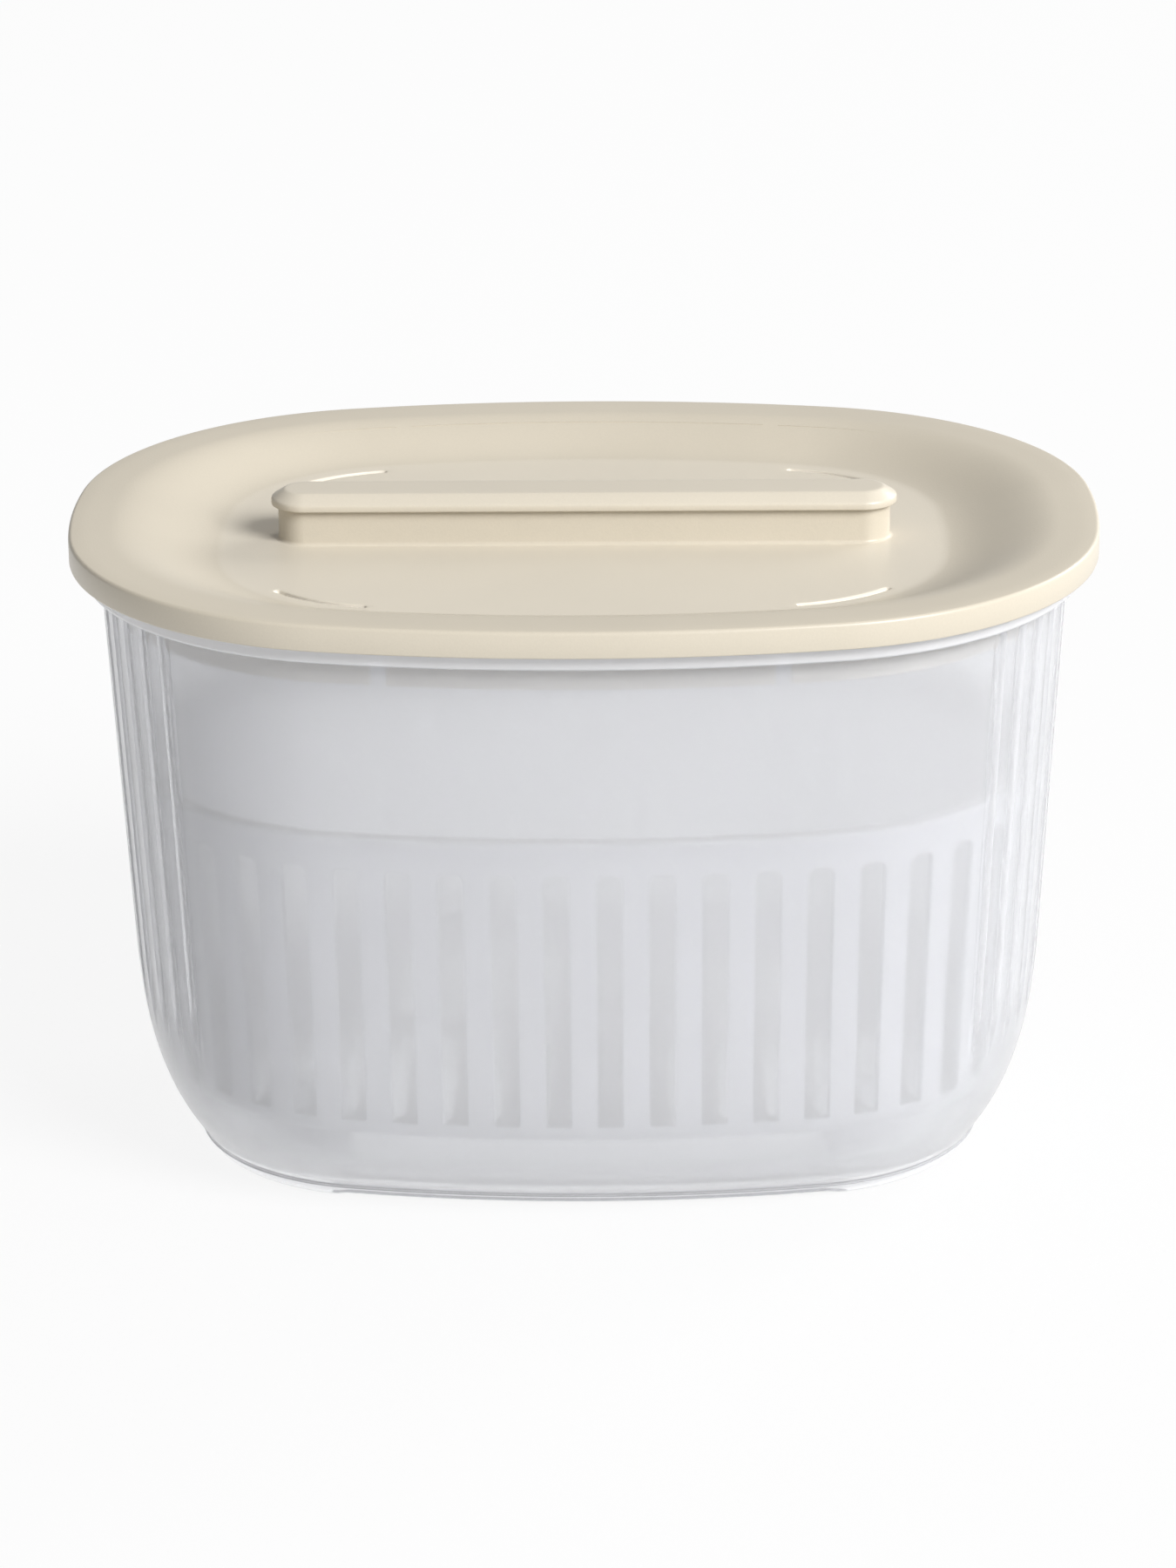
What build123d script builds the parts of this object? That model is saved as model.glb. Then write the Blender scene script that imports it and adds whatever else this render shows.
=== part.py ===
from build123d import *
import os
from math import cos, floor, pi, radians, sin, sqrt, tan

# Microwave steam sterilizer for baby bottles: tub, basket, lid and grip cap.
# Millimetres, +Z up. The origin is on the table under the middle of the tub, and X runs along it.

# Lid outline, seen from above: an oval of front and back arcs, end arcs and corner arcs
LID_LENGTH = 260.0
LID_DEPTH = 194.8
CORNER_RADIUS = 81.0

# Degrees that the front arc and an end arc turn through, in every outline of the tub, basket and lid
FRONT_ARC = 22.0
END_ARC = 11.3

# Lid: rim band, skirt and dish
LID_WALL = 2.2
SKIRT_HEIGHT = 6.8
RIM_EDGE_BEVEL = 0.7
RIM_BAND = 17.0
DISH_DROP = 7.0
DISH_SLOPE_AT_ENDS = 23.0
DISH_SLOPE_AT_SIDES = 16.4
DISH_CREASE = 0.2
DISH_SECTIONS = 5

# Steam vents: arc slots along the edge of the dish floor
VENT_WIDTH = 1.7
VENT_LENGTH = 27.0
VENT_FROM_MIDDLE = 52.0

# Plug ring under the lid, in four lengths
PLUG_SIDE_GAP = 4.6
PLUG_WALL = 1.7
PLUG_REACH = 17.0
PLUG_BREAK_WIDTH = 2.0
PLUG_BREAK_SPACING = 98.0

# Grip: a hollow boss on the lid, which stops short of the dish floor's ends, and the cap that closes it
GRIP_END_GAP = 12.5
GRIP_WIDTH = 14.5
GRIP_HEIGHT = 9.1
GRIP_WALL = 2.0
GRIP_FOOT_BEVEL = 0.7
CAP_OVERHANG = 1.7
CAP_SIDE = 1.8
CAP_BEVEL_HEIGHT = 2.2
CAP_BEVEL_WIDTH = 3.4
CAP_EDGE_BEVEL = 0.4
CAP_PLUG_DEPTH = 3.5
CAP_PLUG_WALL = 1.5
CAP_PLUG_CLEARANCE = 0.12

# Tub: rim gallery, drafted wall, rounded bottom
TUB_HEIGHT = 163.0
TUB_WALL = 2.2
TUB_FLOOR = 2.4
SKIRT_CLEARANCE = 1.4
GALLERY_HEIGHT = 8.7
GALLERY_STEP = 4.2
GALLERY_EDGE_BEVEL = 0.9
WALL_DRAFT = 3.3
ROUNDING_TOP = 62.0
ROUNDING_AT_ENDS = 15.6
ROUNDING_AT_SIDES = 21.8
ROUNDING_POWER_AT_ENDS = 2.9
ROUNDING_POWER_AT_SIDES = 3.8
ROUNDING_POWER_AT_CORNERS = 3.3
ROUNDING_SECTIONS = 7
BASE_CORNER_RADIUS = 45.0

# Foot ring, a little wider than the bottom, and its four corner feet
FOOT_RING_STEP = 1.4
FOOT_RING_HEIGHT = 4.0
FOOT_RING_WIDTH = 4.5
FOOT_RECESS = 1.6
FOOT_PROUD = 0.6
FOOT_START_X = 62.0
FOOT_START_Y = 14.0

# Flutes on the ends of the tub
FLUTES_PER_END = 16
FLUTE_PITCH = 8.8
FLUTE_WIDTH = 4.6
FLUTE_CUT = 0.8
FLUTE_TOP_GAP = 2.0
FLUTE_BOTTOM = 34.0

# Basket: slotted wall, lip, drained floor and four legs
BASKET_RIM_HEIGHT = 106.0
BASKET_SIDE_GAP = 4.6
BASKET_WALL = 1.8
BASKET_FLOOR = 2.0
BASKET_FLOOR_HEIGHT = 23.5
BASKET_CORNER_RADIUS = 4.0
BASKET_CORNER_STEPS = 2
BASKET_LIP = 1.4
BASKET_LIP_HEIGHT = 2.0
SLOTS_AROUND = 48
SLOT_WIDTH = 6.5
SLOT_CORNER_BEVEL = 1.6
SLOT_TOP_MARGIN = 9.2
SLOT_BOTTOM_MARGIN = 4.8
DRAIN_WIDTH = 5.0
DRAIN_PITCH = 12.0
DRAIN_MARGIN = 9.0
DRAIN_SPINE = 8.0
LEG_WALL = 2.0
LEG_SIDE_GAP = 12.0
LEG_START_X = 50.0
LEG_START_Y = 12.0

# Clearance under a piece that lifts off
SEAT_GAP = 0.3

# How far a cutter runs past a face, and how near an edge lies to the place where it is looked for
PAST = 1.0
NEAR = 0.1

# Heights and insets that follow from the sizes above
LID_UNDERSIDE = TUB_HEIGHT + SEAT_GAP
RIM_TOP = LID_UNDERSIDE + LID_WALL
SKIRT_BOTTOM = RIM_TOP - SKIRT_HEIGHT
DISH_FLOOR = RIM_TOP - DISH_DROP
GRIP_TOP = DISH_FLOOR + GRIP_HEIGHT
LEDGE = TUB_HEIGHT - GALLERY_HEIGHT
GALLERY_INSET = LID_WALL + SKIRT_CLEARANCE
WALL_TOP_INSET = GALLERY_INSET + GALLERY_STEP
BASE = FOOT_PROUD
TUB_INSIDE_FLOOR = BASE + FOOT_RECESS + TUB_FLOOR
PLUG_INSET = WALL_TOP_INSET + TUB_WALL + PLUG_SIDE_GAP
GRIP_LENGTH = LID_LENGTH - 2 * (RIM_BAND + DISH_SLOPE_AT_ENDS + GRIP_END_GAP)
DRAFT_SLOPE = tan(radians(WALL_DRAFT))


def oval(half_length, half_depth, corner_radius):
    """Eight tangent arcs, as (centre x, centre y, radius, first angle, last angle), from the right tip.

    The front and end radii follow from the sizes given and from the angles, which every oval shares,
    so that the wall between two ovals is curved one way only.
    """
    a = radians(END_ARC / 2)
    b = radians(90 - FRONT_ARC / 2)
    along = half_length - corner_radius * (cos(a) - cos(b))
    across = half_depth - corner_radius * (sin(b) - sin(a))
    share = cos(b) * sin(a) - (1 - cos(a)) * (1 - sin(b))
    front_radius = (along * sin(a) - across * (1 - cos(a))) / share
    end_radius = (across * cos(b) - along * (1 - sin(b))) / share
    front_y = half_depth - front_radius
    end_x = half_length - end_radius
    corner_x = (front_radius - corner_radius) * cos(b)
    corner_y = (end_radius - corner_radius) * sin(a)
    return [
        (end_x, 0, end_radius, -a, a),
        (corner_x, corner_y, corner_radius, a, b),
        (0, front_y, front_radius, b, pi - b),
        (-corner_x, corner_y, corner_radius, pi - b, pi - a),
        (-end_x, 0, end_radius, pi - a, pi + a),
        (-corner_x, -corner_y, corner_radius, pi + a, pi + b),
        (0, -front_y, front_radius, pi + b, 2 * pi - b),
        (corner_x, -corner_y, corner_radius, 2 * pi - b, 2 * pi - a),
    ]


def lid_oval(inset, inset_at_sides=None):
    """The lid's outline moved inwards, by as much or by another amount at front and back."""
    side = inset if inset_at_sides is None else inset_at_sides
    return oval(LID_LENGTH / 2 - inset, LID_DEPTH / 2 - side, CORNER_RADIUS - (inset + side) / 2)


def inner_outline(arcs, inset):
    """The same oval moved inwards: every arc keeps its centre and loses the inset from its radius."""
    return [(x, y, radius - inset, first, last) for x, y, radius, first, last in arcs]


def arc_point(arc, angle, z=0.0):
    x, y, radius, _, _ = arc
    return Vector(x + radius * cos(angle), y + radius * sin(angle), z)


def wire_at(z, arcs):
    edges = []
    for arc in arcs:
        first, last = arc[3], arc[4]
        points = [arc_point(arc, angle, z) for angle in (first, (first + last) / 2, last)]
        edges.append(Edge.make_three_point_arc(*points))
    return Wire(edges)


def prism(z_low, z_high, arcs):
    return Solid.extrude(Face(wire_at(z_low, arcs)), Vector(0, 0, z_high - z_low))


def loft_between(sections):
    """A solid with straight walls from each (height, arcs) section to the next."""
    return Solid.make_loft([wire_at(z, arcs) for z, arcs in sections], True)


def perimeter(arcs):
    return sum(arc[2] * (arc[4] - arc[3]) for arc in arcs)


def station(arcs, distance):
    """Point on the oval and its outward direction, that far anticlockwise from the right tip."""
    left = (distance + arcs[0][2] * arcs[0][4]) % perimeter(arcs)
    for arc in arcs:
        length = arc[2] * (arc[4] - arc[3])
        if left <= length:
            angle = arc[3] + left / arc[2]
            return arc_point(arc, angle), Vector(cos(angle), sin(angle), 0)
        left -= length
    return station(arcs, 0)


def four_corners(ring, start_x, start_y):
    """The parts of a ring at its four corners, beyond start_x and start_y."""
    box = ring.bounding_box()
    width = box.max.X - start_x + 1
    depth = box.max.Y - start_y + 1
    corner = Box(width, depth, 3 * box.size.Z + 3, align=(Align.MIN, Align.MIN, Align.CENTER))
    parts = []
    for side in (1, -1):
        for front in (1, -1):
            x = start_x if side > 0 else -start_x - width
            y = start_y if front > 0 else -start_y - depth
            parts.append(ring & Pos(x, y, box.center().Z) * corner)
    return parts


def wall_inset(z):
    """How far the tub's drafted wall lies inside the lid's outline at height z."""
    return WALL_TOP_INSET + (LEDGE - z) * DRAFT_SLOPE


def rounded_outline(z, bottom, inwards):
    """Outline at height z of the tub's wall, or of a surface inwards of it, that ends at bottom."""
    inset = wall_inset(z) + inwards
    share = (ROUNDING_TOP - z) / (ROUNDING_TOP - bottom)
    at_ends = inset + (ROUNDING_AT_ENDS - inwards) * share**ROUNDING_POWER_AT_ENDS
    at_sides = inset + (ROUNDING_AT_SIDES - inwards) * share**ROUNDING_POWER_AT_SIDES
    blend = share**ROUNDING_POWER_AT_CORNERS
    corner = (CORNER_RADIUS - inset) * (1 - blend) + (BASE_CORNER_RADIUS - inwards) * blend
    return oval(LID_LENGTH / 2 - at_ends, LID_DEPTH / 2 - at_sides, corner)


def tub_form(bottom, top, inwards=0.0):
    """Solid inside the tub's wall surface: a smooth bottom and a straight drafted wall."""
    shares = [sqrt(i / (ROUNDING_SECTIONS - 1)) for i in range(ROUNDING_SECTIONS)]
    heights = [ROUNDING_TOP - (ROUNDING_TOP - bottom) * share for share in reversed(shares)]
    bowl = loft_between([(z, rounded_outline(z, bottom, inwards)) for z in heights])
    wall = loft_between([(z, lid_oval(wall_inset(z) + inwards)) for z in (ROUNDING_TOP, top)])
    return bowl + wall


def flute_cutter(distance):
    """Long cylinder that lies along the drafted wall and cuts one shallow flute."""
    radius = (FLUTE_WIDTH**2 / 4 + FLUTE_CUT**2) / (2 * FLUTE_CUT)
    at, outward = station(lid_oval(WALL_TOP_INSET), distance)
    ends = []
    for z in (FLUTE_BOTTOM, LEDGE - FLUTE_TOP_GAP):
        out = WALL_TOP_INSET - wall_inset(z) + radius - FLUTE_CUT
        ends.append(at + outward * out + Vector(0, 0, z))
    axis = ends[1] - ends[0]
    away = axis.cross(outward).cross(axis)
    return Solid.make_cylinder(radius, axis.length, Plane(origin=ends[0], x_dir=away, z_dir=axis))


def foot_outline():
    return inner_outline(rounded_outline(BASE, BASE, 0.0), -FOOT_RING_STEP)


def make_tub():
    gallery = loft_between([
        (LEDGE, lid_oval(GALLERY_INSET + GALLERY_EDGE_BEVEL)),
        (LEDGE + GALLERY_EDGE_BEVEL, lid_oval(GALLERY_INSET)),
        (TUB_HEIGHT, lid_oval(GALLERY_INSET)),
    ])
    foot_ring = prism(BASE, FOOT_RING_HEIGHT, foot_outline())
    tub = tub_form(BASE, LEDGE) + gallery + foot_ring

    half = perimeter(lid_oval(WALL_TOP_INSET)) / 2
    cutters = []
    for i in range(FLUTES_PER_END):
        along = (i - (FLUTES_PER_END - 1) / 2) * FLUTE_PITCH
        cutters += [flute_cutter(along), flute_cutter(half + along)]
    tub = tub - cutters

    tub = tub - tub_form(TUB_INSIDE_FLOOR, LEDGE + TUB_WALL, TUB_WALL)
    tub = tub - prism(LEDGE + TUB_WALL, TUB_HEIGHT + PAST, lid_oval(GALLERY_INSET + TUB_WALL))

    ring_inside = inner_outline(foot_outline(), FOOT_RING_WIDTH)
    tub = tub - prism(BASE - PAST, BASE + FOOT_RECESS, ring_inside)
    feet = prism(0, BASE, foot_outline()) - prism(-PAST, BASE + PAST, ring_inside)
    for foot in four_corners(feet, FOOT_START_X, FOOT_START_Y):
        tub = tub + foot
    return tub


def basket_inset(z):
    top = wall_inset(BASKET_RIM_HEIGHT) + TUB_WALL + BASKET_SIDE_GAP
    return top + (BASKET_RIM_HEIGHT - z) * DRAFT_SLOPE


def basket_form(bottom, top, inwards):
    """Drafted oval block with a bottom edge that is rounded in a few flats."""
    radius = BASKET_CORNER_RADIUS - inwards
    sections = []
    for i in range(BASKET_CORNER_STEPS + 1):
        angle = pi / 2 * i / BASKET_CORNER_STEPS
        z = bottom + radius * (1 - cos(angle))
        sections.append((z, lid_oval(basket_inset(z) + inwards + radius * (1 - sin(angle)))))
    return loft_between(sections + [(top, lid_oval(basket_inset(top) + inwards))])


def slot_cutter(at, outward, z_low, z_high):
    """Upright slot with bevelled top corners, cut through the wall at one place."""
    slot = Rectangle(SLOT_WIDTH, z_high - z_low)
    slot = chamfer(slot.vertices().group_by(Axis.Y)[-1], SLOT_CORNER_BEVEL)
    middle = at + Vector(0, 0, (z_low + z_high) / 2)
    plane = Plane(origin=middle, x_dir=Vector(0, 0, 1).cross(outward), z_dir=outward)
    return extrude(plane * slot, 2 * BASKET_WALL, both=True)


def half_depth_at(arcs, x):
    """Half the oval's depth at a distance x from the middle."""
    corner, back = arcs[1], arcs[2]
    arc = back if x < arc_point(back, back[3]).X else corner
    return arc[1] + sqrt(arc[2] ** 2 - (x - arc[0]) ** 2)


def drain_cutters(arcs):
    """Two rows of slots across the floor, each side of a spine."""
    half_length = arc_point(arcs[0], 0).X
    columns = floor((half_length - DRAIN_MARGIN - DRAIN_WIDTH) / DRAIN_PITCH)
    cutters = []
    for i in range(-columns, columns + 1):
        x = i * DRAIN_PITCH
        length = half_depth_at(arcs, abs(x)) - DRAIN_MARGIN - DRAIN_SPINE / 2
        if length > 2 * DRAIN_WIDTH:
            drain = Box(DRAIN_WIDTH, length, BASKET_FLOOR + 2 * PAST)
            for side in (1, -1):
                y = side * (DRAIN_SPINE + length) / 2
                cutters.append(Pos(x, y, BASKET_FLOOR_HEIGHT + BASKET_FLOOR / 2) * drain)
    return cutters


def make_basket():
    floor_top = BASKET_FLOOR_HEIGHT + BASKET_FLOOR
    basket = basket_form(BASKET_FLOOR_HEIGHT, BASKET_RIM_HEIGHT, 0.0)
    lip_outline = lid_oval(basket_inset(BASKET_RIM_HEIGHT) - BASKET_LIP)
    lip = prism(BASKET_RIM_HEIGHT - BASKET_LIP_HEIGHT, BASKET_RIM_HEIGHT, lip_outline)
    basket = basket + lip - basket_form(floor_top, BASKET_RIM_HEIGHT + PAST, BASKET_WALL)

    middle = lid_oval(basket_inset((BASKET_FLOOR_HEIGHT + BASKET_RIM_HEIGHT) / 2) + BASKET_WALL / 2)
    pitch = perimeter(middle) / SLOTS_AROUND
    z_low = BASKET_FLOOR_HEIGHT + SLOT_BOTTOM_MARGIN
    z_high = BASKET_RIM_HEIGHT - SLOT_TOP_MARGIN
    cutters = []
    for i in range(SLOTS_AROUND):
        at, outward = station(middle, (i + 0.5) * pitch)
        cutters.append(slot_cutter(at, outward, z_low, z_high))
    basket = basket - cutters - drain_cutters(lid_oval(basket_inset(BASKET_FLOOR_HEIGHT)))

    tub_floor = rounded_outline(TUB_INSIDE_FLOOR, TUB_INSIDE_FLOOR, TUB_WALL)
    outside = inner_outline(tub_floor, LEG_SIDE_GAP)
    foot_z = TUB_INSIDE_FLOOR + SEAT_GAP
    leg_top = BASKET_FLOOR_HEIGHT + BASKET_FLOOR / 2
    ring = prism(foot_z, leg_top, outside)
    ring = ring - prism(foot_z - PAST, leg_top + PAST, inner_outline(outside, LEG_WALL))
    for leg in four_corners(ring, LEG_START_X, LEG_START_Y):
        basket = basket + leg
    return basket


def dish_form(top_z, floor_z):
    """Solid under an S-shaped slope: it runs from the rim band down to the flat dish floor."""
    sections = []
    for i in range(DISH_SECTIONS):
        t = 1 - i / (DISH_SECTIONS - 1)
        drop = DISH_CREASE * t + (1 - DISH_CREASE) * (3 * t**2 - 2 * t**3)
        arcs = lid_oval(RIM_BAND + DISH_SLOPE_AT_ENDS * t, RIM_BAND + DISH_SLOPE_AT_SIDES * t)
        sections.append((top_z - (top_z - floor_z) * drop, arcs))
    return loft_between(sections)


def vent_cutters():
    """Four arc slots along the edge of the dish floor, one near each corner."""
    edge = lid_oval(RIM_BAND + DISH_SLOPE_AT_ENDS, RIM_BAND + DISH_SLOPE_AT_SIDES)
    quarter = perimeter(edge) / 4
    stops = [quarter - VENT_FROM_MIDDLE - VENT_LENGTH * share for share in (0, 0.5, 1)]
    cutters = []
    for side in (1, -1):
        for front in (1, -1):
            points = [station(edge, stop)[0] for stop in stops]
            arc = Edge.make_three_point_arc(*[Vector(p.X * side, p.Y * front, 0) for p in points])
            face = Pos(0, 0, DISH_FLOOR - 2 * LID_WALL) * SlotArc(arc, VENT_WIDTH)
            cutters.append(extrude(face, 3 * LID_WALL + DISH_DROP))
    return cutters


def stadium(z, length, width):
    return Pos(0, 0, z) * SlotOverall(length, width)


def plug_ring():
    """Upright ring under the rim band, cut into four lengths."""
    bottom = LID_UNDERSIDE - PLUG_REACH
    ring = prism(bottom, LID_UNDERSIDE + LID_WALL / 2, lid_oval(PLUG_INSET))
    ring = ring - prism(bottom - PAST, RIM_TOP, lid_oval(PLUG_INSET + PLUG_WALL))
    cut = Box(PLUG_BREAK_WIDTH, LID_DEPTH, PLUG_REACH + PAST, align=(Align.CENTER, Align.CENTER, Align.MAX))
    for side in (1, -1):
        ring = ring - Pos(side * PLUG_BREAK_SPACING / 2, 0, LID_UNDERSIDE) * cut
    return ring


def make_lid():
    shell = loft_between([
        (SKIRT_BOTTOM, lid_oval(0)),
        (RIM_TOP - RIM_EDGE_BEVEL, lid_oval(0)),
        (RIM_TOP, lid_oval(RIM_EDGE_BEVEL)),
    ])
    shell = shell - prism(SKIRT_BOTTOM - PAST, LID_UNDERSIDE, lid_oval(LID_WALL))
    lid = shell + dish_form(RIM_TOP - LID_WALL, DISH_FLOOR - LID_WALL) + plug_ring()
    lid = lid - dish_form(RIM_TOP, DISH_FLOOR)

    boss = extrude(stadium(DISH_FLOOR - LID_WALL / 2, GRIP_LENGTH, GRIP_WIDTH), GRIP_HEIGHT + LID_WALL / 2)
    lid = lid + boss
    foot = lid.edges().filter_by_position(Axis.Z, DISH_FLOOR - NEAR, DISH_FLOOR + NEAR)
    foot = foot.filter_by_position(Axis.Y, -GRIP_WIDTH / 2 - NEAR, GRIP_WIDTH / 2 + NEAR)
    foot = foot.filter_by_position(Axis.X, -GRIP_LENGTH / 2 - NEAR, GRIP_LENGTH / 2 + NEAR)
    lid = lid.chamfer(GRIP_FOOT_BEVEL, None, foot)
    hollow = stadium(DISH_FLOOR, GRIP_LENGTH - 2 * GRIP_WALL, GRIP_WIDTH - 2 * GRIP_WALL)
    return lid - extrude(hollow, GRIP_HEIGHT + PAST) - vent_cutters()


def make_grip_cap():
    length = GRIP_LENGTH + 2 * CAP_OVERHANG
    width = GRIP_WIDTH + 2 * CAP_OVERHANG
    cap = extrude(stadium(GRIP_TOP, length, width), CAP_SIDE)
    bevel_foot = stadium(GRIP_TOP + CAP_SIDE, length, width)
    bevel_top = stadium(
        GRIP_TOP + CAP_SIDE + CAP_BEVEL_HEIGHT, length - 2 * CAP_BEVEL_WIDTH, width - 2 * CAP_BEVEL_WIDTH
    )
    cap = cap + loft([bevel_foot, bevel_top])
    cap = chamfer(cap.faces().sort_by(Axis.Z)[-1].edges(), CAP_EDGE_BEVEL)

    plug_length = GRIP_LENGTH - 2 * GRIP_WALL - 2 * CAP_PLUG_CLEARANCE
    plug_width = GRIP_WIDTH - 2 * GRIP_WALL - 2 * CAP_PLUG_CLEARANCE
    plug = extrude(stadium(GRIP_TOP - CAP_PLUG_DEPTH, plug_length, plug_width), CAP_PLUG_DEPTH)
    core_height = CAP_PLUG_DEPTH + CAP_SIDE
    core = extrude(
        stadium(GRIP_TOP - CAP_PLUG_DEPTH, plug_length - 2 * CAP_PLUG_WALL, plug_width - 2 * CAP_PLUG_WALL),
        core_height,
    )
    return cap + plug - core


os.makedirs("parts", exist_ok=True)
export_step(make_tub(), "parts/tub.step")
export_step(make_basket(), "parts/basket.step")
export_step(make_lid(), "parts/lid.step")
export_step(make_grip_cap(), "parts/grip_cap.step")
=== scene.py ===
from math import cos, pi, radians, sin, sqrt, tan

import bmesh
import bpy
from mathutils import Matrix, Vector


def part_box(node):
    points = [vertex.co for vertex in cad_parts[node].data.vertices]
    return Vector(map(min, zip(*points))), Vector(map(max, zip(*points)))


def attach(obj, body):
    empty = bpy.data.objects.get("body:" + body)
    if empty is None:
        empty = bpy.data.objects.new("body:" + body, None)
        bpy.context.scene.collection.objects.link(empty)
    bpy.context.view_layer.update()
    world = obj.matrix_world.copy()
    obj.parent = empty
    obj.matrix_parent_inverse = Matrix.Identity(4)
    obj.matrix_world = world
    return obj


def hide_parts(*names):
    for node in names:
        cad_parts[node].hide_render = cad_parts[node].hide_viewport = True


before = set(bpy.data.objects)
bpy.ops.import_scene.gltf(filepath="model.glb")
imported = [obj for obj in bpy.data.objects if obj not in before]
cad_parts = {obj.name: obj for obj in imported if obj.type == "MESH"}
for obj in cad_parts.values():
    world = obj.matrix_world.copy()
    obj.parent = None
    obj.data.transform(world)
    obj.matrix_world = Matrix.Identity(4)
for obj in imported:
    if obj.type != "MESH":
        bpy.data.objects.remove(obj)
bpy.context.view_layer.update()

# Tub: a deep oval tub of frosted polypropylene, moulded in one piece. Its drafted wall has shallow
# flutes at both ends and a wider gallery at the rim; below, it runs in to a foot ring with four feet.
lid_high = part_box("lid")[1]
tub_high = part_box("tub")[1]
half_length = lid_high.x
half_depth = lid_high.y
corner_radius = 0.081
front_arc = radians(22.0)
end_arc = radians(11.3)
tub_wall = 0.0022
wall_slope = tan(radians(3.3))
gallery_inset = half_length - tub_high.x
gallery_step = 0.0042
gallery_height = 0.0087
ledge = tub_high.z - gallery_height
base_corner_radius = 0.045
rounding_top = 0.062
rounding_at_ends = 0.0156
rounding_at_sides = 0.0218
ends_power = 2.9
sides_power = 3.8
corner_power = 3.3
ring_base = 0.0006
inside_floor = 0.0046
floor_margin = 0.004
soft_edge = 0.0006
flute_pitch = 0.0088
flute_width = 0.0046
flute_cut = 0.0008
flutes_per_end = 16
near = 1e-6


def oval(length, depth, corner):
    """Eight tangent arcs, as (centre x, centre y, radius, first angle, last angle), from the right tip."""
    a = end_arc / 2
    b = pi / 2 - front_arc / 2
    along = length - corner * (cos(a) - cos(b))
    across = depth - corner * (sin(b) - sin(a))
    share = cos(b) * sin(a) - (1 - cos(a)) * (1 - sin(b))
    front = (along * sin(a) - across * (1 - cos(a))) / share
    end = (across * cos(b) - along * (1 - sin(b))) / share
    x = (front - corner) * cos(b)
    y = (end - corner) * sin(a)
    return [
        (length - end, 0, end, -a, a),
        (x, y, corner, a, b),
        (0, depth - front, front, b, pi - b),
        (-x, y, corner, pi - b, pi - a),
        (end - length, 0, end, pi - a, pi + a),
        (-x, -y, corner, pi + a, pi + b),
        (0, front - depth, front, pi + b, 2 * pi - b),
        (x, -y, corner, 2 * pi - b, 2 * pi - a),
    ]


def lid_oval(inset, side=None):
    """The lid's outline moved inwards, by as much or by another amount at front and back."""
    side = inset if side is None else side
    return oval(half_length - inset, half_depth - side, corner_radius - (inset + side) / 2)


def on_oval(arcs, turn, inwards=0.0):
    """Point on the oval or inwards of it, where turn counts arcs: 2.5 is the middle of the third."""
    x, y, radius, first, last = arcs[int(turn) % 8]
    angle = first + (last - first) * (turn % 1)
    return x + (radius - inwards) * cos(angle), y + (radius - inwards) * sin(angle)


def arc_lengths(arcs):
    return [radius * (last - first) for x, y, radius, first, last in arcs]


def distance_at(arcs, turn):
    """Distance along the oval from the middle of its right tip."""
    lengths = arc_lengths(arcs)
    return sum(lengths[:int(turn)]) + lengths[int(turn) % 8] * (turn % 1) - lengths[0] / 2


def turn_at(arcs, distance):
    """The turn that lies that far along the oval from the middle of its right tip."""
    lengths = arc_lengths(arcs)
    left = (distance + lengths[0] / 2) % sum(lengths)
    for i, length in enumerate(lengths):
        if left < length:
            return i + left / length
        left -= length
    return 0.0


def ring_at(z, arcs, inwards=0.0):
    return lambda turn: Vector((*on_oval(arcs, turn, inwards), z))


def edges_of(points):
    """The edges that meet at these points, each once and always in the same order."""
    return list(dict.fromkeys(e for v in points for e in v.link_edges))


def first_ring(bm, turns, place):
    """A circle whose points are set on an outline, each marked with its turn."""
    mark = bm.verts.layers.float.get("turn") or bm.verts.layers.float.new("turn")
    made = bmesh.ops.create_circle(bm, segments=len(turns), radius=1.0, cap_ends=False)["verts"]
    for v, turn in zip(made, turns):
        v[mark] = turn
        v.co = place(turn)
    return edges_of(made)


def next_ring(bm, edges, place):
    """Extrudes a ring of edges and sets the new points on the next outline."""
    mark = bm.verts.layers.float["turn"]
    made = bmesh.ops.extrude_edge_only(bm, edges=edges)["geom"]
    for v in made:
        if isinstance(v, bmesh.types.BMVert):
            v.co = place(v[mark])
    return [e for e in made if isinstance(e, bmesh.types.BMEdge)]


def soften(bm, edges, width, segments=3):
    """Rounds the edges of a ring."""
    bmesh.ops.bevel(bm, geom=edges, offset=width, offset_type="OFFSET", segments=segments, profile=0.5,
                    affect="EDGES", material=-1)


def make_piece(bm, name, body, node, material):
    """Makes the mesh an object that rides on its body, stands for its node and takes its material."""
    bmesh.ops.remove_doubles(bm, verts=bm.verts, dist=near)
    bmesh.ops.recalc_face_normals(bm, faces=bm.faces)
    mesh = bpy.data.meshes.new(name)
    bm.to_mesh(mesh)
    bm.free()
    mesh.shade_smooth()
    mesh.set_sharp_from_angle(angle=radians(50.0))
    piece = bpy.data.objects.new(name, mesh)
    bpy.context.scene.collection.objects.link(piece)
    piece.data.materials.append(material)
    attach(piece, body)
    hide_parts(node)


def wall_inset(z):
    return gallery_inset + gallery_step + (ledge - z) * wall_slope


def tub_outline(z, bottom, inwards):
    """Outline of the tub's wall at a height, for the outside or for a surface inwards of it."""
    inset = wall_inset(z) + inwards
    if z >= rounding_top:
        return lid_oval(inset)
    share = (rounding_top - z) / (rounding_top - bottom)
    at_ends = inset + (rounding_at_ends - inwards) * share**ends_power
    at_sides = inset + (rounding_at_sides - inwards) * share**sides_power
    blend = share**corner_power
    corner = (corner_radius - inset) * (1 - blend) + (base_corner_radius - inwards) * blend
    return oval(half_length - at_ends, half_depth - at_sides, corner)


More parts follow.
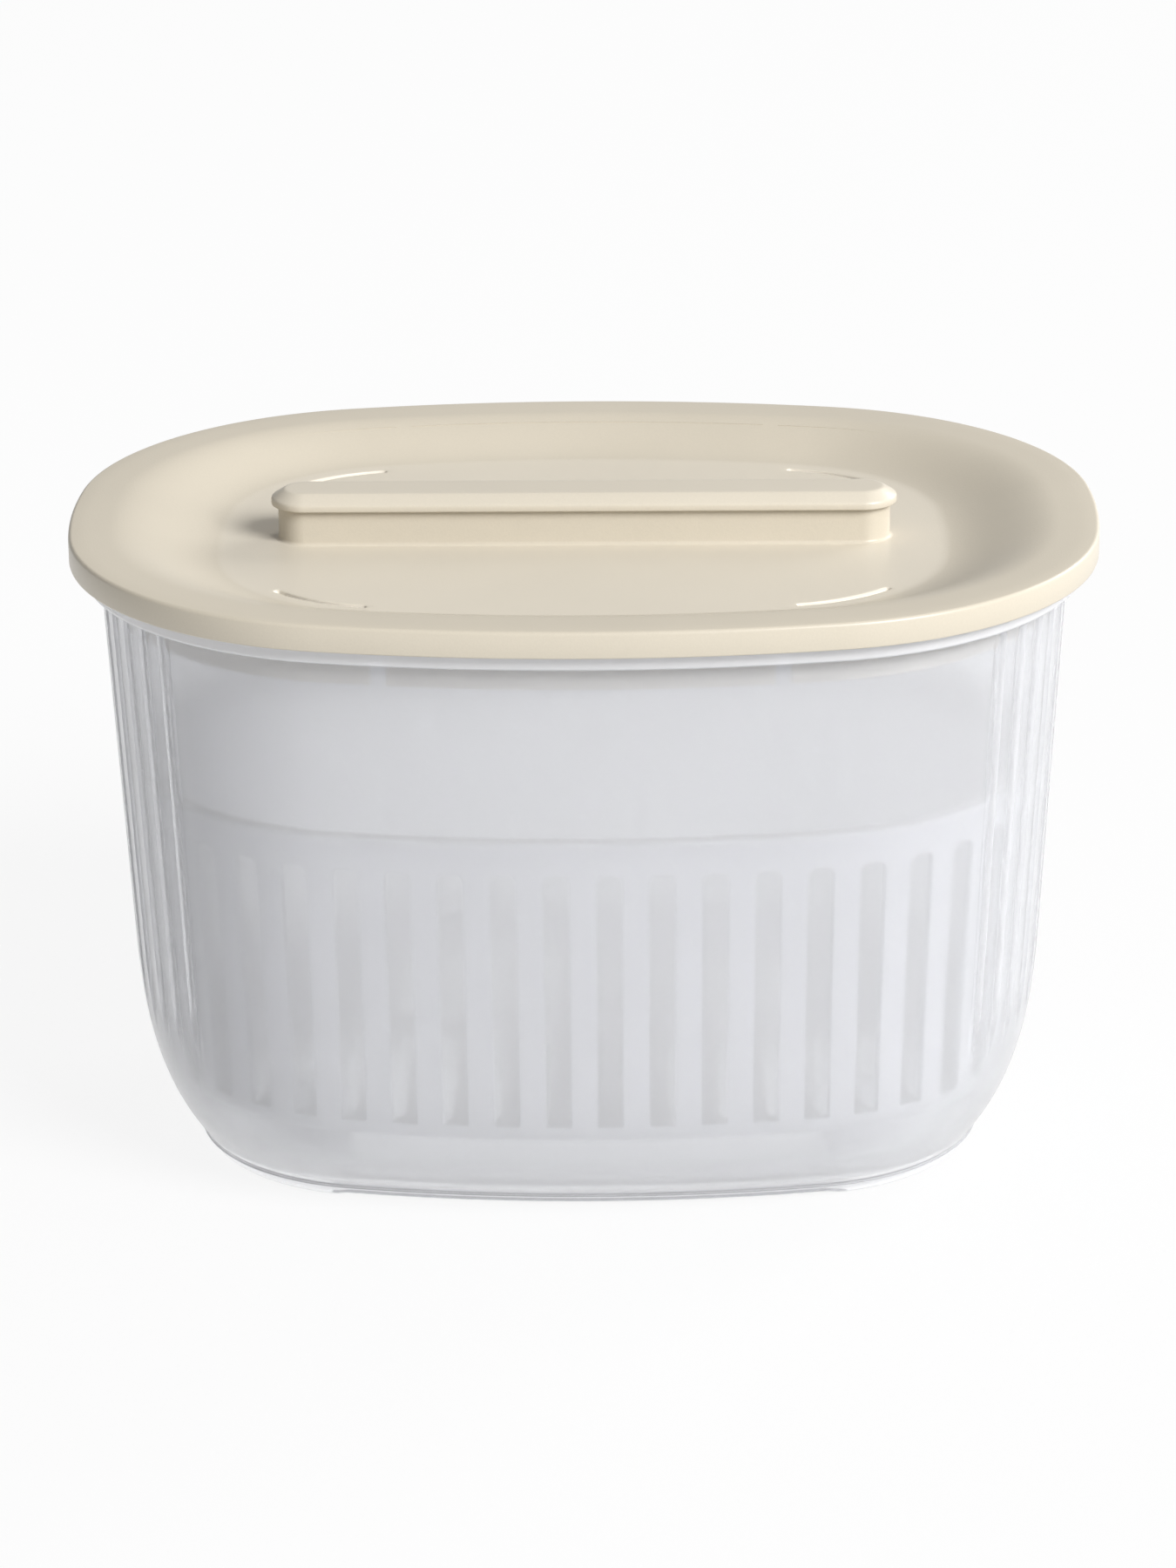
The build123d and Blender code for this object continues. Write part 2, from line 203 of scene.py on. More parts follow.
def wall_ring_at(z, inwards=0.0, bottom=ring_base):
    return ring_at(z, tub_outline(z, bottom, inwards))


wall_top = lid_oval(gallery_inset + gallery_step)
half_way = sum(arc_lengths(wall_top)) / 2
fluted_reach = flutes_per_end / 2 * flute_pitch


def tub_turns():
    """Turns of the points round the tub: close together across each flute, wider apart elsewhere."""
    shares = (0.25, 0.5, 0.72, 0.9, 1.0, 1.12, 1.3)
    plain_step = 0.0035
    across = [flute_width / 2 * share for share in shares]
    steps = [0.0, *across, *[-step for step in across], flute_pitch / 2]
    middles = [(i + 0.5) * flute_pitch - fluted_reach for i in range(flutes_per_end)]
    stops = [middle + step for middle in middles for step in steps]
    plain = half_way - 2 * fluted_reach
    count = round(plain / plain_step)
    stops += [fluted_reach + plain * (i + 1) / count for i in range(count)]
    return [turn_at(wall_top, stop + end) for end in (0.0, half_way) for stop in sorted(stops)]


def fluted_ring_at(z):
    """A ring of the outside wall with round grooves side by side on each end, which run out below."""
    arcs = tub_outline(z, ring_base, 0.0)
    radius = (flute_width**2 / 4 + flute_cut**2) / (2 * flute_cut)
    share = max((rounding_top - z) / (rounding_top - ring_base), 0.0)
    run_out = rounding_at_ends * share**ends_power

    def place(turn):
        distance = distance_at(wall_top, turn)
        from_tip = min(abs(distance), abs(distance - half_way), abs(distance - 2 * half_way))
        off = from_tip % flute_pitch - flute_pitch / 2
        depth = 0.0
        if from_tip < fluted_reach and abs(off) < flute_width / 2:
            depth = max(sqrt(radius**2 - off**2) - radius + flute_cut - run_out, 0.0)
        return Vector((*on_oval(arcs, turn, depth), z))
    return place


def foot_ring_at(outwards):
    """The underside of the foot ring, which stands a little lower on its four corner feet."""
    arcs = tub_outline(ring_base, ring_base, 0.0)
    foot_x, foot_y, ramp = 0.060, 0.012, 0.005

    def place(turn):
        x, y = on_oval(arcs, turn)
        rise = min(max(min(abs(x) - foot_x, abs(y) - foot_y) / ramp, 0.0), 1.0)
        return Vector((*on_oval(arcs, turn, -outwards), ring_base * (1 - rise * rise * (3 - 2 * rise))))
    return place


def add_underside(bm):
    """The recessed bottom and the foot ring, up to where the rounding of the wall begins."""
    bottom = tub_outline(ring_base, ring_base, 0.0)
    ring_out, ring_width, ring_top = 0.0014, 0.0045, 0.0032
    ring_inside = ring_width - ring_out
    recess = ring_base + 0.0016
    shoulder = ((0.0038, 0.0012), (0.0042, 0.0007), (0.0046, 0.0003))
    edges = first_ring(bm, tub_turns(), ring_at(recess, bottom, ring_inside + floor_margin))
    bmesh.ops.edgeloop_fill(bm, edges=edges)
    edges = next_ring(bm, edges, ring_at(recess, bottom, ring_inside))
    edges = next_ring(bm, edges, foot_ring_at(-ring_inside))
    foot_edge = next_ring(bm, edges, foot_ring_at(ring_out))
    edges = next_ring(bm, foot_edge, ring_at(ring_top, bottom, -ring_out))
    for z, out in shoulder:
        edges = next_ring(bm, edges, ring_at(z, tub_outline(z, ring_base, 0.0), -out))
    return foot_edge, edges


def add_outside(bm, edges):
    """The rounding and the fluted wall, up to the ledge under the gallery."""
    rows, lowest, crowding = 22, 0.0050, 0.7
    for i in range(1, rows):
        z = rounding_top - (rounding_top - lowest) * (1 - i / (rows - 1)) ** crowding
        edges = next_ring(bm, edges, fluted_ring_at(z))
    flute_top = ledge - 0.002
    below_top, above_top, below_ledge = 0.0006, 0.0004, 0.0008
    for z in (0.085, 0.110, 0.135, flute_top - below_top, flute_top):
        edges = next_ring(bm, edges, fluted_ring_at(z))
    for z in (flute_top + above_top, ledge - below_ledge):
        edges = next_ring(bm, edges, wall_ring_at(z))
    return next_ring(bm, edges, ring_at(ledge, wall_top))


def add_inside(bm, edges):
    """The inner wall, down from the seat in the gallery, and the floor."""
    for z in (ledge - 0.002, 0.120, 0.090):
        edges = next_ring(bm, edges, wall_ring_at(z, tub_wall))
    rows, crowding = 15, 0.6
    for i in range(rows):
        z = rounding_top - (rounding_top - inside_floor) * (i / (rows - 1)) ** crowding
        edges = next_ring(bm, edges, wall_ring_at(z, tub_wall, inside_floor))
    floor_oval = tub_outline(inside_floor, inside_floor, tub_wall)
    edges = next_ring(bm, edges, ring_at(inside_floor, floor_oval, floor_margin))
    bmesh.ops.edgeloop_fill(bm, edges=edges)


def make_tub(material):
    """One run of rings: from the middle of the underside up the outside, and down the inside."""
    bm = bmesh.new()
    foot_edge, edges = add_underside(bm)
    edges = add_outside(bm, edges)
    gallery = lid_oval(gallery_inset)
    gallery_edge = next_ring(bm, edges, ring_at(ledge, gallery))
    rim_out = next_ring(bm, gallery_edge, ring_at(tub_high.z, gallery))
    rim_in = next_ring(bm, rim_out, ring_at(tub_high.z, gallery, tub_wall))
    seat = next_ring(bm, rim_in, ring_at(ledge + tub_wall, gallery, tub_wall))
    seat_edge = next_ring(bm, seat, ring_at(ledge + tub_wall, wall_top, tub_wall))
    add_inside(bm, seat_edge)
    soften(bm, gallery_edge, 2 * soft_edge, segments=4)
    for edges in (foot_edge, rim_out, rim_in, seat, seat_edge):
        soften(bm, edges, soft_edge)
    make_piece(bm, "tub_frosted", "tub", "tub", material)


def noise(tree, scale, detail):
    """Cloudy noise in the piece's own coordinates."""
    place = tree.nodes.new("ShaderNodeTexCoord")
    clouds = tree.nodes.new("ShaderNodeTexNoise")
    clouds.inputs["Scale"].default_value = scale
    clouds.inputs["Detail"].default_value = detail
    tree.links.new(place.outputs["Object"], clouds.inputs["Vector"])
    return clouds.outputs["Fac"]


def distance_along(tree, axis, coordinates="Object"):
    """How far along X or Z a point lies, or a direction in the surround."""
    place = tree.nodes.new("ShaderNodeTexCoord")
    axes = tree.nodes.new("ShaderNodeSeparateXYZ")
    tree.links.new(place.outputs[coordinates], axes.inputs["Vector"])
    return axes.outputs[axis]


def graded(tree, value, start, end, low=0.0, high=1.0):
    """Goes evenly from low, where the value is start, to high, where it is end."""
    grade = tree.nodes.new("ShaderNodeMapRange")
    grade.inputs["From Min"].default_value = start
    grade.inputs["From Max"].default_value = end
    grade.inputs["To Min"].default_value = low
    grade.inputs["To Max"].default_value = high
    tree.links.new(value, grade.inputs["Value"])
    return grade.outputs["Result"]


def moulded_plastic(name, colour, roughness, clouding, relief):
    """Satin moulded plastic: a nearly even colour, and the fine grain that the mould leaves."""
    material = bpy.data.materials.new(name)
    material.use_nodes = True
    tree = material.node_tree
    shader = tree.nodes["Principled BSDF"]
    clouds = noise(tree, scale=16.0, detail=3.0)
    grain = noise(tree, scale=2000.0, detail=2.0)
    grain_in_tint, grain_in_roughness, grain_in_relief = 0.5, 0.03, 0.5

    speckle = tree.nodes.new("ShaderNodeMath")
    speckle.operation = "MULTIPLY_ADD"
    speckle.inputs[1].default_value = grain_in_tint
    tree.links.new(grain, speckle.inputs[0])
    tree.links.new(clouds, speckle.inputs[2])
    tint = tree.nodes.new("ShaderNodeValToRGB")
    darker, lighter = tint.color_ramp.elements
    darker.position, lighter.position = 0.3, 0.7
    darker.color = (*[c * (1 - clouding) for c in colour], 1.0)
    lighter.color = (*[min(c * (1 + clouding), 1.0) for c in colour], 1.0)
    tree.links.new(graded(tree, speckle.outputs["Value"], start=0.25, end=1.25), tint.inputs["Fac"])
    tree.links.new(tint.outputs["Color"], shader.inputs["Base Color"])

    satin = graded(tree, grain, start=0.0, end=1.0, low=roughness - grain_in_roughness,
                   high=roughness + grain_in_roughness)
    tree.links.new(satin, shader.inputs["Roughness"])
    bump = tree.nodes.new("ShaderNodeBump")
    bump.inputs["Strength"].default_value = grain_in_relief
    bump.inputs["Distance"].default_value = relief
    tree.links.new(grain, bump.inputs["Height"])
    tree.links.new(bump.outputs["Normal"], shader.inputs["Normal"])
    return material, shader


def add_milkiness(material, shader):
    """The wall is clear enough to show the basket, and milkier in the gallery."""
    tree = material.node_tree
    clear_wall, milky_gallery, change = 0.76, 0.45, 0.0006
    height = distance_along(tree, "Z")
    clearness = graded(tree, height, ledge - change, ledge + change, clear_wall, milky_gallery)
    tree.links.new(clearness, shader.inputs["Transmission Weight"])


frosted, frosted_shader = moulded_plastic(
    "frosted_polypropylene", (0.963, 0.968, 0.99), roughness=0.235, clouding=0.005, relief=0.00001)
frosted_shader.inputs["IOR"].default_value = 1.45
add_milkiness(frosted, frosted_shader)
make_tub(frosted)

# Basket: a lift-out basket of milky polypropylene, moulded in one piece. Upright slots run round its
# wall, drain slots cross its floor, and it stands inside the tub on four corner legs.
basket_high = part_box("basket")[1]
rest_gap = 0.0003
basket_gap = 0.0046
basket_wall = 0.0018
basket_floor = 0.0235
basket_corner = 0.004
slots = 48
slot_half = 0.00325
slot_corner = 0.0022
slot_low = basket_floor + 0.0048
slot_high = basket_high.z - 0.0092
lip_height = 0.002
lip_out = 0.0014
leg_inwards = 0.012
leg_wall = 0.002
leg_from_x = 0.050
leg_from_y = 0.012
leg_into_floor = 0.001
rim_softness = 0.0008
near_along = 10 * near


def basket_inset(z):
    rim = wall_inset(basket_high.z) + tub_wall + basket_gap
    return rim + (basket_high.z - z) * wall_slope


def basket_ring_at(z, inwards=0.0):
    return ring_at(z, lid_oval(basket_inset(z)), inwards)


slot_oval = lid_oval(basket_inset((basket_floor + basket_high.z) / 2) + basket_wall / 2)
slot_pitch = sum(arc_lengths(slot_oval)) / slots


def from_slot(turn):
    """Distance along the wall from the middle of the nearest slot."""
    return distance_at(slot_oval, turn) % slot_pitch - slot_pitch / 2


def basket_turns():
    """Turns of the points round the basket: at the sides and corners of each slot, and between slots."""
    beside_slot = 0.0014
    side = (slot_half - slot_corner, slot_half - slot_corner / 2, slot_half, slot_half + beside_slot)
    steps = [-slot_pitch / 2, *[-step for step in side], *side]
    middles = [(i + 0.5) * slot_pitch for i in range(slots)]
    return sorted(turn_at(slot_oval, middle + step) for middle in middles for step in steps)


def inside_of(arcs, distance):
    return [(x, y, radius - distance, first, last) for x, y, radius, first, last in arcs]


def sharp_edges(bm, z):
    """The sharp edges that lie at a height."""
    return [e for e in bm.edges if all(abs(v.co.z - z) < near for v in e.verts)
            and len(e.link_faces) == 2 and e.calc_face_angle() > 1.0]


def curved_bar(bm, turns, outer, inner, low, high):
    """A curved upright bar: a line of points is extruded across, then upwards."""
    mark = bm.verts.layers.float["turn"]
    line = bmesh.ops.create_vert(bm, co=(*on_oval(outer, turns[0]), low))["vert"]
    line[0][mark] = turns[0]
    edges = []
    for turn in turns[1:]:
        made = bmesh.ops.extrude_vert_indiv(bm, verts=line[-1:])
        line += made["verts"]
        edges += made["edges"]
        line[-1].co = (*on_oval(outer, turn), low)
        line[-1][mark] = turn
    across = bmesh.ops.extrude_edge_only(bm, edges=edges)["geom"]
    for v in across:
        if isinstance(v, bmesh.types.BMVert):
            v.co = (*on_oval(inner, v[mark]), low)
    faces = [f for f in across if isinstance(f, bmesh.types.BMFace)]
    up = bmesh.ops.extrude_face_region(bm, geom=faces)["geom"]
    raised = [v for v in up if isinstance(v, bmesh.types.BMVert)]
    bmesh.ops.translate(bm, vec=(0, 0, high - low), verts=raised)


def add_drains(bm, z):
    """Loops of the drain slots, in two rows across the floor, one on each side of a spine."""
    width, pitch, margin, spine = 0.005, 0.012, 0.009, 0.008
    floor_edge = lid_oval(basket_inset(z))
    loops = []
    for i in range(-7, 8):
        x = i * pitch
        corner, back = floor_edge[1], floor_edge[2]
        arc = back if abs(x) < back[0] + back[2] * cos(back[3]) else corner
        reach = arc[1] + sqrt(arc[2] ** 2 - (abs(x) - arc[0]) ** 2) - margin - spine / 2
        for side in (1, -1):
            made = bmesh.ops.create_circle(bm, segments=12, radius=width / 2, cap_ends=False)["verts"]
            for v in made:
                v.co.y += (reach - width) / 2 * (1 if v.co.y > 0 else -1)
                v.co += Vector((x, side * (spine + reach) / 2, z))
            loops += edges_of(made)
    return loops


def cut_slots(bm):
    """Takes the slots out of the sheet, and moves the points of their tops on to round corners."""
    mark = bm.verts.layers.float["turn"]

    def in_slot(face):
        return slot_low < face.calc_center_median().z < slot_high and all(
            abs(from_slot(v[mark])) < slot_half + near_along for v in face.verts)

    bmesh.ops.delete(bm, geom=[f for f in bm.faces if in_slot(f)], context="FACES")
    top_row = slot_high - slot_corner / 2
    for v in [v for v in bm.verts if v.is_boundary and top_row - near < v.co.z < slot_high + near]:
        away = from_slot(v[mark])
        beyond = max(slot_half - abs(away), 0.0)
        if beyond < slot_corner - near_along:
            angle = pi / 2 * (v.co.z - slot_high + slot_corner + beyond) / (2 * slot_corner)
            shift = slot_half - slot_corner * (1 - cos(angle)) - abs(away)
            shift = shift if away > 0 else -shift
            z = slot_high - slot_corner * (1 - sin(angle))
            turn = turn_at(slot_oval, distance_at(slot_oval, v[mark]) + shift)
            v.co = (*on_oval(lid_oval(basket_inset(z)), turn), z)


def add_lip(bm):
    """Grows the lip out of the top of the wall, and rounds the rim."""
    mark = bm.verts.layers.float["turn"]
    lip_low = basket_high.z - lip_height
    outline = lid_oval(basket_inset(basket_high.z) - lip_out)
    faces = [f for f in bm.faces if len(f.verts) == 4
             and lip_low < f.calc_center_median().z < basket_high.z
             and abs(f.normal.z) < 0.5 and f.normal.dot(f.calc_center_median()) > 0]
    for v in bmesh.ops.extrude_face_region(bm, geom=faces)["geom"]:
        if isinstance(v, bmesh.types.BMVert):
            v.co = (*on_oval(outline, v[mark]), v.co.z)
    bmesh.ops.delete(bm, geom=faces, context="FACES")
    soften(bm, sharp_edges(bm, basket_high.z), rim_softness)


def add_legs(bm):
    """Four curved legs under the basket's corners, which stand on the tub's floor."""
    around = inside_of(tub_outline(inside_floor, inside_floor, tub_wall), leg_inwards)
    inner = inside_of(around, leg_wall)
    steps = 60
    for corner in (1, 3, 5, 7):
        leg = []
        for i in range(steps + 1):
            turn = corner + i / steps
            x, y = on_oval(around, turn)
            if abs(x) > leg_from_x and abs(y) > leg_from_y:
                leg.append(turn)
        curved_bar(bm, leg, around, inner, inside_floor + rest_gap, basket_floor + leg_into_floor)


def make_basket(material):
    """The wall and floor are one thin sheet with its openings cut, which then gets its thickness."""
    bm = bmesh.new()
    floor_ring = first_ring(bm, basket_turns(), basket_ring_at(basket_floor, basket_corner))
    edges = floor_ring
    corner_rows = 6
    for i in range(1, corner_rows + 1):
        angle = pi / 2 * i / corner_rows
        z = basket_floor + basket_corner * (1 - cos(angle))
        edges = next_ring(bm, edges, basket_ring_at(z, basket_corner * (1 - sin(angle))))
    beyond_slot = 0.001
    low_rows = (slot_low, slot_low + beyond_slot, 0.045, 0.065, 0.080)
    top_rows = (slot_high - slot_corner, slot_high - slot_corner / 2, slot_high, slot_high + beyond_slot)
    for z in (*low_rows, *top_rows, basket_high.z - lip_height, basket_high.z):
        edges = next_ring(bm, edges, basket_ring_at(z))
    cut_slots(bm)
    floor_edges = floor_ring + add_drains(bm, basket_floor)
    bmesh.ops.triangle_fill(bm, use_beauty=True, use_dissolve=False, edges=floor_edges)
    bmesh.ops.recalc_face_normals(bm, faces=bm.faces)
    bmesh.ops.solidify(bm, geom=bm.faces, thickness=basket_wall)
    add_lip(bm)
    add_legs(bm)
    make_piece(bm, "basket_slotted", "basket", "basket", material)


milky, milky_shader = moulded_plastic(
    "milky_polypropylene", (0.953, 0.96, 0.982), roughness=0.30, clouding=0.005, relief=0.00001)
milky_shader.inputs["Transmission Weight"].default_value = 0.25
milky_shader.inputs["IOR"].default_value = 1.45
make_basket(milky)

# Lid: a dished oval cover of cream polypropylene with a short skirt. Four vents lie along the edge of
# the dish floor, a plug ring hangs under the rim in four lengths, and the grip's hollow bar is moulded on.
lid_wall = 0.0022
rim_top = tub_high.z + rest_gap + lid_wall
skirt_height = 0.0068
dish_depth = 0.007
dish_floor = rim_top - dish_depth
rim_band = 0.010
slope_at_ends = 0.030
slope_at_sides = 0.0234
vent_half = 0.00085
vent_inwards = 0.0028
vent_starts = 0.053
vent_ends = 0.080
plug_gap = 0.0046
plug_wall = 0.0017
plug_reach = 0.017
grip_height = 0.0091
grip_top = dish_floor + grip_height
grip_wall = 0.002
grip_half_straight = 0.07025
grip_radius = 0.00725


def dish_oval(t, inwards=0.0):
    """Outline on the dish's slope, from the rim band at 0 to the edge of the floor at 1."""
    return lid_oval(rim_band + slope_at_ends * t + inwards, rim_band + slope_at_sides * t + inwards)


def even_turns(end_steps, corner_steps, front_steps):
    """Turns of the points round a whole oval, with as many steps on each kind of arc."""
    counts = [end_steps, corner_steps, front_steps, corner_steps] * 2
    return [k + i / counts[k] for k in range(8) for i in range(counts[k])]


def vent_stretches():
    """Where each vent starts and ends, as distances along the line of the vents."""
    whole = sum(arc_lengths(vent_oval))
    stretches = []
    for middle in (whole / 4, 3 * whole / 4):
        for side in (1, -1):
            stretches.append(sorted((middle + side * vent_starts, middle + side * vent_ends)))
    return stretches


vent_oval = dish_oval(1.0, vent_inwards)
vents = vent_stretches()


def lid_turns():
    """Turns of the points round the lid, with some right at the ends of the vents."""
    stops = [stop for low, high in vents for stop in (low, low + vent_half, high - vent_half, high)]
    ends = [turn_at(vent_oval, stop) for stop in stops]
    room = 0.012
    around = even_turns(end_steps=24, corner_steps=40, front_steps=40)
    return sorted([t for t in around if all(abs(t - end) > room for end in ends)] + ends)


def cut_vents(bm):
    """Takes the vents out of the sheet beside the edge of the dish floor, and rounds their ends."""
    mark = bm.verts.layers.float["turn"]

    def vent_of(v):
        distance = distance_at(vent_oval, v[mark])
        for low, high in vents:
            if low - near_along < distance < high + near_along:
                return low, high, distance
        return None

    def off_line(v):
        return (Vector(on_oval(vent_oval, v[mark])) - v.co.xy).length

    def in_vent(face):
        return abs(face.calc_center_median().z - dish_floor) < near and all(
            vent_of(v) and off_line(v) < vent_half * 1.2 for v in face.verts)

    bmesh.ops.delete(bm, geom=[f for f in bm.faces if len(f.verts) == 4 and in_vent(f)], context="FACES")
    for v in bm.verts:
        if v.is_boundary and abs(v.co.z - dish_floor) < near and off_line(v) > vent_half / 2:
            low, high, distance = vent_of(v)
            if min(distance - low, high - distance) < near_along:
                round_in = vent_half * (1 - sin(pi / 4))
                round_in = round_in if distance - low < near_along else -round_in
                turn = turn_at(vent_oval, distance + round_in)
                outer = v.co.xy.length > Vector(on_oval(vent_oval, v[mark])).length
                inwards = vent_half * cos(pi / 4) * (-1 if outer else 1)
                v.co = (*on_oval(dish_oval(1.0, vent_inwards + inwards), turn), dish_floor)


def add_plug_ring(bm):
    """Four lengths of a thin upright ring under the rim band, with gaps at front and back."""
    outer = lid_oval(gallery_inset + gallery_step + tub_wall + plug_gap)
    inner = inside_of(outer, plug_wall)
    low = tub_high.z + rest_gap - plug_reach
    high = rim_top - lid_wall / 2
    gap_from, gap_to = 0.048, 0.050
    fine = even_turns(end_steps=12, corner_steps=24, front_steps=60)
    middle = [t for t in fine if abs(on_oval(outer, t)[0]) < gap_from]
    back = [t for t in middle if on_oval(outer, t)[1] > 0]
    front = [t for t in middle if on_oval(outer, t)[1] < 0]
    left = [t for t in fine if on_oval(outer, t)[0] < -gap_to]
    right = [t for t in fine if on_oval(outer, t)[0] > gap_to]
    right = [t for t in right if t > 4] + [t + 8 for t in right if t < 4]
    for turns in (back, front, left, right):
        curved_bar(bm, turns, outer, inner, low, high)


def bar_ring_at(z, outwards):
    """Outline of the grip's round-ended bar, moved outwards."""
    def place(turn):
        angle = 2 * pi * turn
        x = grip_half_straight * (1 if cos(angle) > 0 else -1)
        return Vector((x + (grip_radius + outwards) * cos(angle), (grip_radius + outwards) * sin(angle), z))
    return place


bar_points = 72
bar_turns = [(i + 0.5) / bar_points for i in range(bar_points)]


def add_grip_body(bm):
    """The hollow bar that stands on the dish floor, with a small fillet round its foot."""
    fillet, fillet_steps, sunk, hollow_floor = 0.0009, 4, 0.0006, 0.0001
    edges = first_ring(bm, bar_turns, bar_ring_at(dish_floor - sunk, fillet))
    bmesh.ops.edgeloop_fill(bm, edges=edges)
    for i in range(fillet_steps + 1):
        angle = pi / 2 * i / fillet_steps
        z = dish_floor + fillet * (1 - cos(angle))
        edges = next_ring(bm, edges, bar_ring_at(z, fillet * (1 - sin(angle))))
    edges = next_ring(bm, edges, bar_ring_at(grip_top, 0.0))
    edges = next_ring(bm, edges, bar_ring_at(grip_top, -grip_wall))
    edges = next_ring(bm, edges, bar_ring_at(dish_floor + hollow_floor, -grip_wall))
    bmesh.ops.edgeloop_fill(bm, edges=edges)


def make_lid(material):
    """The shell is one thin sheet, from the skirt's edge to the dish floor, which then gets its wall."""
    bm = bmesh.new()
    skirt_low = rim_top - skirt_height
    edges = first_ring(bm, lid_turns(), ring_at(skirt_low, lid_oval(0.0)))
    for inset in (0.0, rim_band / 2):
        edges = next_ring(bm, edges, ring_at(rim_top, lid_oval(inset)))
    slope_rows = 20
    for i in range(slope_rows + 1):
        t = i / slope_rows
        drop = 3 * t**2 - 2 * t**3
        edges = next_ring(bm, edges, ring_at(rim_top - dish_depth * drop, dish_oval(t)))
    beyond_vent = 0.002
    for inwards in (-vent_half, 0.0, vent_half, beyond_vent):
        edges = next_ring(bm, edges, ring_at(dish_floor, dish_oval(1.0, vent_inwards + inwards)))
    bmesh.ops.edgeloop_fill(bm, edges=edges)
    cut_vents(bm)
    bmesh.ops.recalc_face_normals(bm, faces=bm.faces)
    bmesh.ops.solidify(bm, geom=bm.faces, thickness=lid_wall)
    for z, width, segments in ((rim_top, 0.001, 5), (skirt_low, 0.0004, 2), (dish_floor, 0.0004, 3)):
        soften(bm, sharp_edges(bm, z), width, segments)
    add_plug_ring(bm)
    add_grip_body(bm)
    make_piece(bm, "lid_cream", "lid", "lid", material)


def paint_light_on_plug_ring(material, shader, colour):
    """Painted light: below the skirt the lid's cream is swapped for a paler one, so that the plug ring,
    which stands in shade under the skirt and behind the tub's wall, looks lit.
    """
    tree = material.node_tree
    skirt_low = rim_top - skirt_height
    blend = tree.nodes.new("ShaderNodeMix")
    blend.data_type = "RGBA"
    share, painted_light_colour, usual, mixed = blend.inputs[0], blend.inputs[6], blend.inputs[7], blend.outputs[2]
    # The paler colour given here is painted light on the plug ring.
    painted_light_colour.default_value = (*colour, 1.0)
    change = 0.001
    above_ring = graded(tree, distance_along(tree, "Z"), start=skirt_low - change, end=skirt_low)
    tree.links.new(above_ring, share)
    tree.links.new(shader.inputs["Base Color"].links[0].from_socket, usual)
    tree.links.new(mixed, shader.inputs["Base Color"])


cream, cream_shader = moulded_plastic(
    "cream_polypropylene", (0.55, 0.50, 0.41), roughness=0.36, clouding=0.03, relief=0.00005)
# The paler cream below the skirt is painted light on the plug ring, which stands in shade under the skirt.
paint_light_on_plug_ring(cream, cream_shader, (0.86, 0.81, 0.72))
make_lid(cream)

# Grip cap: a bevelled cover of the same cream polypropylene, which overhangs the bar all round. Its
# thin plug is pressed into the hollow bar.
cap_low, cap_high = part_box("grip_cap")
overhang = cap_high.y - grip_radius
cap_side = 0.0018
cap_bevel = 0.0034
cap_wall = 0.0015
cap_margin = 0.0016
plug_clearance = 0.00012


def make_grip_cap(material):
    """One run of rings: down the inside of the plug, up its outside, and over the cap."""
    bm = bmesh.new()
    plug_out = -grip_wall - plug_clearance
    plug_in = plug_out - cap_wall
    side_top = grip_top + cap_side
    edges = first_ring(bm, bar_turns, bar_ring_at(side_top, plug_in))
    bmesh.ops.edgeloop_fill(bm, edges=edges)
    edges = next_ring(bm, edges, bar_ring_at(cap_low.z, plug_in))
    edges = next_ring(bm, edges, bar_ring_at(cap_low.z, plug_out))
    edges = next_ring(bm, edges, bar_ring_at(grip_top, plug_out))
    lower = next_ring(bm, edges, bar_ring_at(grip_top, overhang))
    shoulder = next_ring(bm, lower, bar_ring_at(side_top, overhang))
    top = next_ring(bm, shoulder, bar_ring_at(cap_high.z, overhang - cap_bevel))
    edges = next_ring(bm, top, bar_ring_at(cap_high.z, overhang - cap_bevel - cap_margin))
    bmesh.ops.edgeloop_fill(bm, edges=edges)
    for edges, width, segments in ((lower, 0.0003, 2), (shoulder, 0.0005, 3), (top, 0.0005, 3)):
        soften(bm, edges, width, segments)
    make_piece(bm, "grip_cap_cream", "lid", "grip_cap", material)


cap_cream, cap_shader = moulded_plastic(
    "cap_polypropylene", (0.585, 0.535, 0.445), roughness=0.33, clouding=0.03, relief=0.00005)
make_grip_cap(cap_cream)

# Studio: a plain white floor that glows, a broad soft light from the front right, a weaker one from
# the back right, and a surround that is white near the horizon and dims upwards and to the left.
floor_bm = bmesh.new()
bmesh.ops.create_grid(floor_bm, x_segments=8, y_segments=8, size=6.0)
floor_mesh = bpy.data.meshes.new("floor")
floor_bm.to_mesh(floor_mesh)
floor_bm.free()
floor = bpy.data.objects.new("floor", floor_mesh)
bpy.context.scene.collection.objects.link(floor)
paper = bpy.data.materials.new("white_paper")
paper.use_nodes = True
paper_tree = paper.node_tree
paper_shader = paper_tree.nodes["Principled BSDF"]
paper_shader.inputs["Base Color"].default_value = (0.08, 0.08, 0.08, 1.0)
paper_shader.inputs["Roughness"].default_value = 0.9
paper_shader.inputs["Specular IOR Level"].default_value = 0.0
paper_shader.inputs["Emission Color"].default_value = (1.0, 1.0, 1.0, 1.0)
